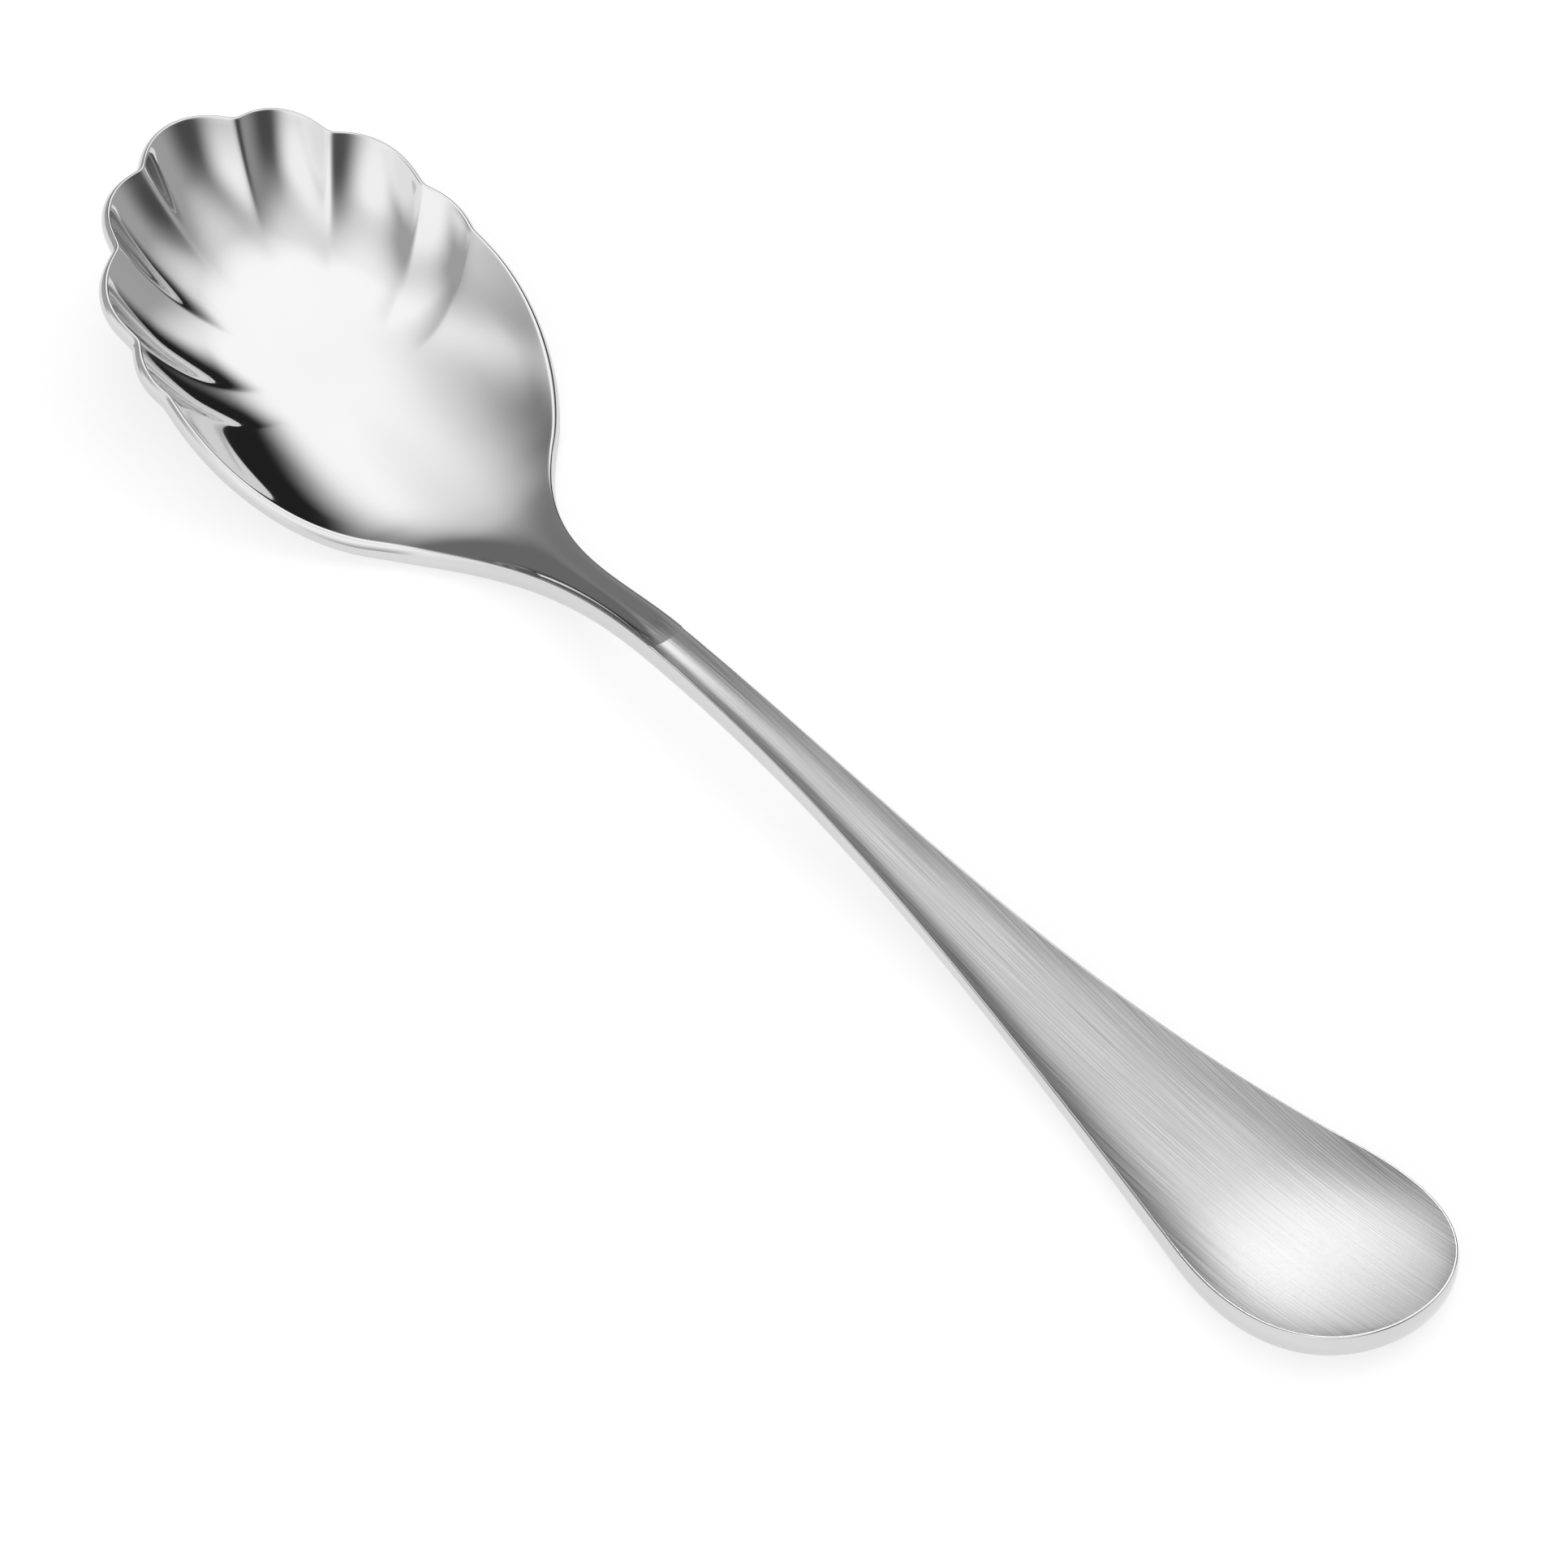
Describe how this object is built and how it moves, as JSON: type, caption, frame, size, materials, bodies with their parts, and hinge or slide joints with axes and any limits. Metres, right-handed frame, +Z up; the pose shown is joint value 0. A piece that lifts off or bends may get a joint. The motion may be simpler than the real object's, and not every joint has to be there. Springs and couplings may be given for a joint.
{
  "type": "sugar spoon",
  "caption": "Sugar spoon with a scalloped, fluted, mirror-polished bowl, a slim neck and a satin handle that flares to a rounded end.",
  "frame": {"origin": "middle of the box around the spoon, on the table it lies on", "axes": "+X along the spoon from the bowl's tip to the handle's end, +Y across it, +Z up from the table, into the open side of the bowl"},
  "size_m": [0.153, 0.0336, 0.0148],
  "materials": {
    "polished_steel": "mirror-polished stainless steel",
    "satin_steel": "satin stainless steel, brushed lengthwise, with polished edges"
  },
  "bodies": {
    "root": {"bowl": "polished_steel", "handle": "satin_steel"}
  },
  "joints": []
}
